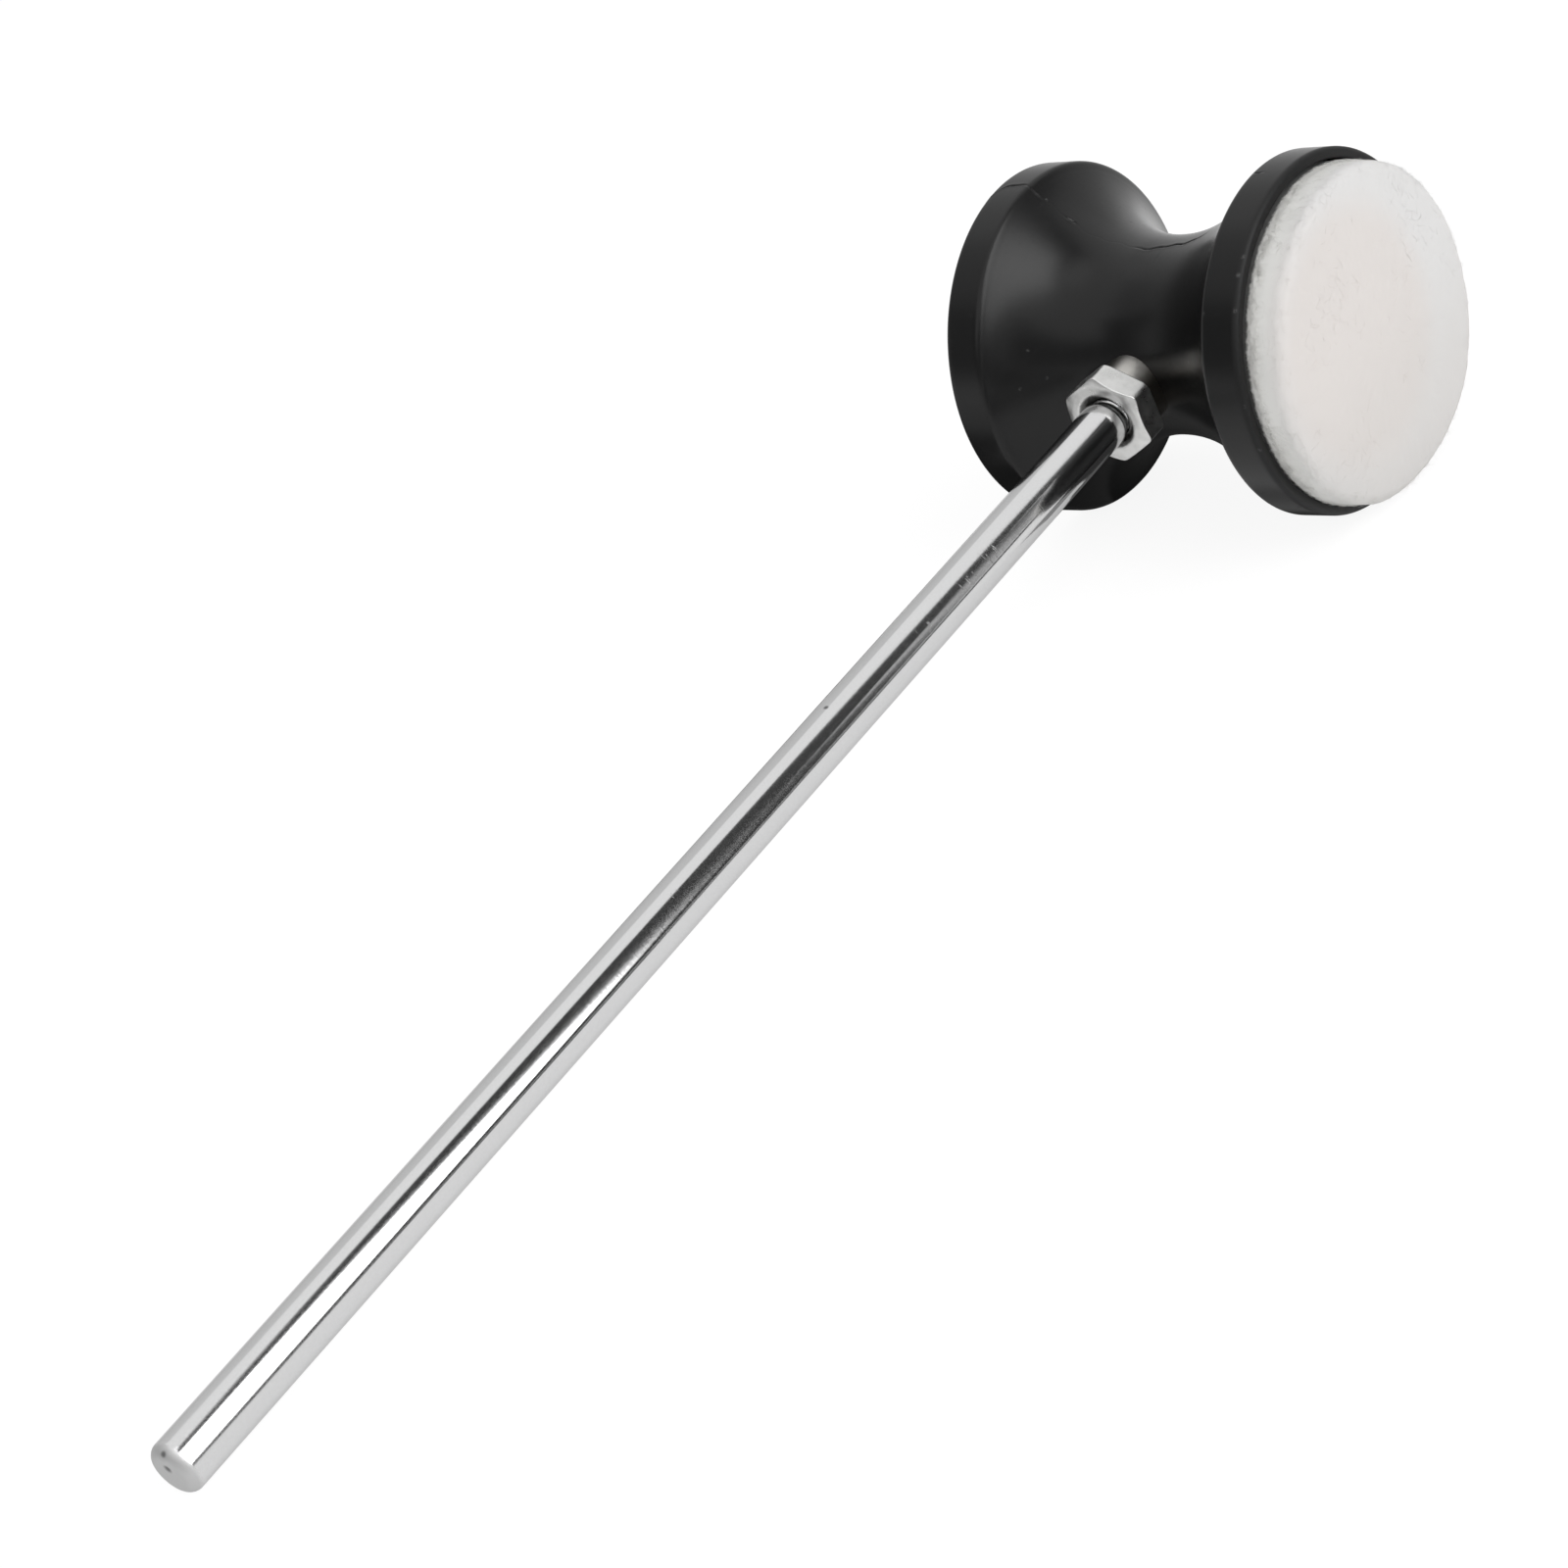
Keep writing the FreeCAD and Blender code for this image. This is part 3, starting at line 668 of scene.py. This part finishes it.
def felt_fibres():
    """Roots, outward directions and highest lift of the loose fibres: few on the face, more on the side,
    and a fringe at the lip. A root is a random place on the outline, turned by a random angle."""
    count = FACE_FIBRES + SIDE_FIBRES + LIP_FIBRES
    kind = np.repeat([0, 1, 2], [FACE_FIBRES, SIDE_FIBRES, LIP_FIBRES])
    path = felt_path()
    path = path[path[:, 1] < -FELT_REACH - 0.1]
    run = np.concatenate([[0], np.cumsum(np.linalg.norm(np.diff(path, axis=0), axis=1))])
    inner = FELT_RADIUS - FELT_EDGE_ROUND
    share = FELT_RNG.uniform(size=count)
    at = np.choose(kind, [inner * np.sqrt(share), inner + (run[-1] - inner) * share, run[-1] - 0.9 * share])
    radius, along = np.interp(at, run, path[:, 0]), np.interp(at, run, path[:, 1])
    rise = np.interp(at + 0.05, run, path[:, 1]) - along
    run_out = np.interp(at + 0.05, run, path[:, 0]) - radius
    turn = FELT_RNG.uniform(0, 2 * np.pi, count)
    spoke = np.stack([np.cos(turn), 0 * turn, np.sin(turn)], axis=-1)
    roots = settled(spoke * radius[:, None] + np.stack([0 * turn + HEAD_X, along, 0 * turn], axis=-1))
    forward = np.stack([0 * turn, -np.abs(run_out) - 1e-4, 0 * turn], axis=-1)
    outward = spoke * np.maximum(rise, 0)[:, None] + forward
    outward = np.where((kind == 2)[:, None], spoke, outward)
    outward /= np.linalg.norm(outward, axis=1, keepdims=True)
    lift = FELT_RNG.uniform(0.3, 1, count) * np.choose(kind, FIBRE_LIFTS)
    return roots, outward, lift


def fibre_mesh(name, roots, outward, lift, material):
    """Loose fibres as thin three-sided tubes: each starts at a root, runs along the surface in a random
    direction, lifts off it in a low arch and tapers to its tip. None stands out past the felt's front."""
    count = len(roots)
    lay = np.cross(outward, FELT_RNG.normal(size=(count, 3)))
    lay /= np.linalg.norm(lay, axis=1, keepdims=True)
    side = np.cross(outward, lay)
    length = FELT_RNG.uniform(*FIBRE_LENGTHS, count)[:, None, None]
    curl = FELT_RNG.normal(0, 0.35, count)[:, None, None]
    share = np.linspace(0, 1, FIBRE_STEPS)[None, :, None]
    line = roots[:, None] + length * share * lay[:, None] + curl * length * share ** 2 * side[:, None]
    line = line + outward[:, None] * (lift[:, None, None] * np.sin(share * 2.2) - 0.03)
    line[..., 1] = np.maximum(line[..., 1], -FELT_EDGE_FRONT - FIBRE_FRONT_GAP)
    angle = np.linspace(0, 2 * np.pi, FIBRE_SIDES, endpoint=False)
    spoke = np.cos(angle)[:, None] * outward[:, None] + np.sin(angle)[:, None] * side[:, None]
    taper = FIBRE_RADIUS * (1 - 0.6 * share)
    tube = line[:, :, None] + taper[..., None] * spoke[:, None]
    index = np.arange(count * FIBRE_STEPS * FIBRE_SIDES).reshape(count, FIBRE_STEPS, FIBRE_SIDES)
    beside = np.roll(index, -1, axis=2)
    faces = np.stack([index[:, :-1], index[:, 1:], beside[:, 1:], beside[:, :-1]], axis=-1).reshape(-1, 4)
    caps = np.concatenate([index[:, 0], index[:, -1, ::-1]])
    mesh = bpy.data.meshes.new(name)
    mesh.from_pydata((tube.reshape(-1, 3) * MM).tolist(), [], faces.tolist() + caps.tolist())
    mesh.shade_smooth()
    mesh.materials.append(material)
    piece = bpy.data.objects.new(name, mesh)
    bpy.context.scene.collection.objects.link(piece)
    return piece


def felt_finish():
    """Pressed wool: warm white in the middle, neutral near the edge, faintly matted. The side is painted
    lighter and neutral, as painted light, and the lower part darker, as painted shade. Its foot is darkened
    nearly black up to an uneven line."""
    finish = new_finish("felt_wool")
    lumps = finish.noise(260, 4)
    fibres = finish.noise(1500, 5)
    x = finish.place(1) - (HEAD_X - 4.2) * MM
    z = finish.place(3) - 2.0 * MM
    rim = finish.ramp(x * x + z * z, (12 * MM) ** 2, (18 * MM) ** 2)
    # Painted light: the side is coloured lighter, in place of the light that falls on it.
    side = finish.ramp(finish.place(2), -27.4 * MM, -24.9 * MM)
    uneven = finish.noise(1100, 5) * 0.85 * MM
    # The foot is darkened nearly black up to an uneven line.
    foot = finish.ramp(finish.place(2) + uneven, -22.72 * MM, -22.30 * MM)
    # Painted shade: the felt is coloured darker towards the bottom.
    lower_painted_shade = finish.ramp(finish.place(3), -18 * MM, 6 * MM, 1.0, 0.0)
    color = finish.blend(rim, (0.765, 0.725, 0.70, 1), (0.77, 0.765, 0.76, 1))
    color = finish.blend(0.16 * lumps, color, (0.70, 0.68, 0.66, 1))
    # The next two blends are painted shade towards the bottom and painted light on the side.
    color = finish.blend(0.58 * lower_painted_shade, color, (0.655, 0.63, 0.61, 1))
    color = finish.blend(0.85 * side, color, (0.85, 0.85, 0.825, 1))
    color = finish.blend(0.9 * foot, color, (0.05, 0.05, 0.05, 1))
    normal = finish.bump(0.5 * lumps + 0.5 * fibres, 0.12, 0.25)
    return finish.surface({"Base Color": color, "Roughness": 0.95, "Normal": normal, "Sheen Weight": 0.12,
                           "Sheen Roughness": 0.5, "Specular IOR Level": 0.15})


wool = felt_finish()
felt = mesh_piece("felt_disc", felt_grid(), wool)
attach(felt, "head")
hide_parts("felt_pad")

nap = fibre_mesh("felt_nap", *felt_fibres(), wool)
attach(nap, "head")

# Stage: a pale table top, on which the beater lies on its two rims and on the rod's free end.
# A softbox stands in front and a weaker lamp at the left. Cards that only mirrors see, bright and dark,
# stand round the beater and lie on the table, and give the chrome and the plastic their bands. The dark
# cards under, behind and beside the head are painted shadow: the head's shadow on the table, as mirrors see
# it.
FLOOR_SIZE = 20000.0
END_ROUND_AT = (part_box("shaft")[0].x / MM + ROD_END_ROUND, ROD_END_ROUND - ROD_RADIUS)
FLOOR_RUN = (HEAD_X - END_ROUND_AT[0], -END_ROUND_AT[1])
FLOOR_TILT = (np.arcsin((RIM_RADIUS - ROD_END_ROUND) / np.hypot(*FLOOR_RUN))
              - np.arctan2(FLOOR_RUN[1], FLOOR_RUN[0]))
FLOOR_TOUCH_TAIL = (END_ROUND_AT[0] - ROD_END_ROUND * np.sin(FLOOR_TILT),
                    END_ROUND_AT[1] - ROD_END_ROUND * np.cos(FLOOR_TILT))
FLOOR_GLOW = 0.8
FLOOR_MIRROR_GLOW = 0.53
FLOOR_GLOW_LEVEL = 1.12
AIM = np.array([100.0, 0.0, 0.0])
LAMP_DISTANCE = 1500.0
CARD_DISTANCE = 5000.0
CARD_LIFT = 0.4
AMBIENT = 0.55
SOFTBOX_SIZE = (1.19, 1.70)
SOFTBOX_BEARING = (7.0, 31.0)
SOFTBOX_SHIFT = (-0.01, 0.135, 0.0)
SOFTBOX_ROLL = np.radians(5.5)
SOFTBOX_RADIANCE = 1.82
FILL_SIZE = 1.2
FILL_BEARING = (-92.0, 28.0)
FILL_RADIANCE = 0.8
WINDOW_LEVEL = 3.7
WINDOW_ACROSS = (-0.37, 0.56)
WINDOW_UP = (-0.83, 0.82)


def bearing(azimuth, elevation):
    """Unit vector at an azimuth from -Y towards +X and an elevation above the horizon, in degrees."""
    a, e = np.broadcast_arrays(np.radians(azimuth), np.radians(elevation))
    return np.stack([np.sin(a) * np.cos(e), -np.cos(a) * np.cos(e), np.sin(e)], axis=-1)


def stage_sheet(name, grid, material):
    """An open sheet from a grid of points in mm, which isn't part of the object."""
    rows, columns = grid.shape[:2]
    index = np.arange(rows * columns).reshape(rows, columns)
    faces = np.stack([index[:-1, :-1], index[:-1, 1:], index[1:, 1:], index[1:, :-1]], axis=-1).reshape(-1, 4)
    mesh = bpy.data.meshes.new(name)
    mesh.from_pydata((grid.reshape(-1, 3) * MM).tolist(), [], faces.tolist())
    mesh.materials.append(material)
    sheet = bpy.data.objects.new(name, mesh)
    bpy.context.scene.collection.objects.link(sheet)
    return sheet


def light_path(finish):
    """Three signals, each 1 for one kind of ray and else 0: from the camera, from a mirror, through glass."""
    return (finish.add("ShaderNodeLightPath", {}, {}, kind)
            for kind in ("Is Camera Ray", "Is Glossy Ray", "Is Transmission Ray"))


def seen_directly(finish):
    """1 for rays from the camera, a mirror or glass, and 0 for the rays that carry diffuse light."""
    camera, glossy, through = light_path(finish)
    return finish.add("ShaderNodeClamp", {}, {"Value": camera + glossy + through})


def floor_finish():
    """Pale table: partly self-lit to the eye and less so to mirrors, so that it reads white and still
    takes a soft shadow. It is clear from below."""
    finish = new_finish("stage_table")
    matt = finish.add("ShaderNodeBsdfDiffuse", {}, {"Color": (0.90, 0.90, 0.90, 1)})
    glow = finish.add("ShaderNodeEmission", {}, {"Color": (1, 1, 1, 1), "Strength": FLOOR_GLOW_LEVEL})
    camera, glossy, through = light_path(finish)
    share = FLOOR_GLOW * camera + FLOOR_MIRROR_GLOW * (glossy + through)
    pale = finish.add("ShaderNodeMixShader", {}, {0: share, 1: matt, 2: glow})
    below = finish.add("ShaderNodeNewGeometry", {}, {}, "Backfacing")
    clear = finish.add("ShaderNodeBsdfTransparent", {}, {})
    both = finish.add("ShaderNodeMixShader", {}, {0: below, 1: pale, 2: clear})
    finish.add("ShaderNodeOutputMaterial", {}, {"Surface": both})
    return finish.owner


def card_finish(name, level):
    """A card that shines at one even level, dark or bright."""
    finish = new_finish(name)
    glow = finish.add("ShaderNodeEmission", {}, {"Color": (level, level, level, 1), "Strength": 1.0})
    finish.add("ShaderNodeOutputMaterial", {}, {"Surface": glow})
    return finish.owner


def mirror_card(name, grid, level):
    """A card that only mirrors see."""
    card = stage_sheet(name, grid, card_finish(name + "_finish", level))
    card.visible_camera = False
    card.visible_diffuse = False
    card.visible_shadow = False
    card.visible_transmission = False


def curved_card(elevations, left, right):
    """Points of a card bent round the object: at each elevation, a row from left azimuth to right."""
    share = np.linspace(0, 1, 13)[None, :]
    left, right, elevations = (np.asarray(edge, float)[:, None] for edge in (left, right, elevations))
    return AIM + CARD_DISTANCE * bearing(left + (right - left) * share, elevations)


def on_table(along, across, above=CARD_LIFT):
    """Points above the sloping table, from distances along it from the rod's free end and across it."""
    along, across = np.meshgrid(along, across)
    return np.stack([FLOOR_TOUCH_TAIL[0] + np.cos(FLOOR_TILT) * along + np.sin(FLOOR_TILT) * above, across,
                     FLOOR_TOUCH_TAIL[1] - np.sin(FLOOR_TILT) * along + np.cos(FLOOR_TILT) * above], axis=-1)


def lamp(name, shape, size, area, radiance, azimuth, elevation, moved=Matrix()):
    """An area lamp of one radiance, aimed at the object from a bearing, that mirrors don't see."""
    data = bpy.data.lights.new(name, "AREA")
    data.shape = shape
    data.size, data.size_y = size
    data.energy = radiance * np.pi * area
    source = bpy.data.objects.new(name, data)
    outward = Vector(bearing(azimuth, elevation))
    source.matrix_world = (Matrix.Translation(Vector(AIM * MM) + outward * LAMP_DISTANCE * MM)
                           @ outward.to_track_quat("Z", "Y").to_matrix().to_4x4() @ moved)
    source.visible_glossy = False
    bpy.context.scene.collection.objects.link(source)
    return source


whole_table = (-FLOOR_SIZE, FLOOR_SIZE)
stage_sheet("table_top", on_table(whole_table, whole_table, 0), floor_finish())
mirror_card("card_front", curved_card((-8, 22, 26, 30, 36, 42, 49, 53, 59, 62, 65, 67, 70),
                                      (-16, -16, -16, -16, -16, -15, -12, -10, -5, -3, 1, 4, 10),
                                      (37.3, 37.5, 46, 51, 55, 58, 63, 68, 72, 74.5, 79, 83, 92)), 0.05)
mirror_card("card_strip", curved_card((-8, 8, 22), (37.1, 37.1, 37.4), (39.6, 39.6, 39.8)), 0.65)
mirror_card("card_right", curved_card((-8, 8, 25), (39.6, 39.6, 40), (60, 60, 58)), 0.17)
mirror_card("card_table_front", on_table((133, 615), (-500, -108), 0.3), 0.12)
mirror_card("card_table_near", on_table((0, 133), (-500, -78), 0.3), 0.06)
mirror_card("card_right_far", curved_card((-2, 12, 26), (60, 60, 58), (104, 104, 104)), 0.70)
mirror_card("card_back", curved_card((-2, 20, 46), (122, 122, 128), (172, 172, 172)), 0.72)
mirror_card("card_back_left", curved_card((-2, 30, 60), (172, 172, 160), (220, 220, 222)), 0.60)
mirror_card("card_left", curved_card((-6, 14, 28), (-112, -112, -112), (-22, -22, -22)), 0.22)
mirror_card("card_left_back", curved_card((-6, 20, 46), (-165, -165, -160), (-112, -112, -112)), 0.2)
mirror_card("card_overhead", curved_card((71, 78, 89), (-20, -60, -90), (88, 90, 90)), 1.5)
# Painted shadow: these dark cards on the table stand for the head's shadow round and behind it, as mirrors
# see it.
mirror_card("shadow_card_under_rim", on_table((169, 177.5), (-22, -9)), 0.3)
mirror_card("shadow_card_under_waist", on_table((177.5, 218), (-22, -2)), 0.04)
mirror_card("shadow_card_under_nut", on_table((174, 184), (-2, 16)), 0.14)
mirror_card("shadow_card_under_flare", on_table((184, 240), (-2, 16)), 0.05)
mirror_card("shadow_card_beside_rod", on_table((95, 143), (28, 110)), 0.65)
mirror_card("shadow_card_below_waist", on_table((158, 240), (16, 30)), 0.05)
mirror_card("shadow_card_behind_waist", on_table((143, 205), (30, 75)), 0.08)
mirror_card("shadow_card_beyond_waist", on_table((143, 205), (75, 200)), 0.35)
mirror_card("card_reflector", on_table((245, 440), (20, 140)), 1.5)

softbox_set = Matrix.Translation(SOFTBOX_SHIFT) @ Matrix.Rotation(SOFTBOX_ROLL, 4, "Z")
softbox_area = SOFTBOX_SIZE[0] * SOFTBOX_SIZE[1]
softbox = lamp("softbox_front", "RECTANGLE", SOFTBOX_SIZE, softbox_area, SOFTBOX_RADIANCE,
               *SOFTBOX_BEARING, softbox_set)
window = [[softbox.matrix_world @ Vector((x, y, 0.0)) for x in WINDOW_ACROSS] for y in WINDOW_UP]
mirror_card("card_window", np.array(window) / MM, WINDOW_LEVEL)
fill_area = np.pi / 4 * FILL_SIZE ** 2
lamp("fill_left", "DISK", (FILL_SIZE, FILL_SIZE), fill_area, FILL_RADIANCE, *FILL_BEARING)

sky = Finish(bpy.data.worlds.new("studio"))
sky_light = sky.add("ShaderNodeBackground", {}, {"Color": (1, 1, 1, 1), "Strength": AMBIENT})
sky_seen = sky.add("ShaderNodeBackground", {}, {"Color": (1, 1, 1, 1), "Strength": 1.0})
sky_mix = sky.add("ShaderNodeMixShader", {}, {0: seen_directly(sky), 1: sky_light, 2: sky_seen})
sky.add("ShaderNodeOutputWorld", {}, {"Surface": sky_mix})
bpy.context.scene.world = sky.owner
bpy.context.scene.view_settings.view_transform = "Standard"

# Camera: stands in front of the beater, to the left of the head and above it.
# Its place, its turn and its focal length are fitted to the photograph.
CAMERA_PLACE = Vector((-133.08, -266.45, 198.91)) * MM
CAMERA_RIGHT = Vector((0.5540, -0.7410, -0.3795))
CAMERA_DOWN = Vector((-0.6231, -0.0667, -0.7793))
CAMERA_AHEAD = Vector((0.5522, 0.6682, -0.4986))
CAMERA_FOCAL_PIXELS = 3749.16
PICTURE_PIXELS = 1600
camera_data = bpy.data.cameras.new("photo_camera")
camera_data.sensor_width = 36.0
camera_data.lens = CAMERA_FOCAL_PIXELS / PICTURE_PIXELS * camera_data.sensor_width
camera_data.clip_start = 0.01
camera_data.clip_end = 50.0
camera = bpy.data.objects.new("photo_camera", camera_data)
camera.matrix_world = Matrix.Translation(CAMERA_PLACE) @ Matrix(
    (CAMERA_RIGHT, -CAMERA_DOWN, -CAMERA_AHEAD)).transposed().to_4x4()
bpy.context.scene.collection.objects.link(camera)
bpy.context.scene.camera = camera
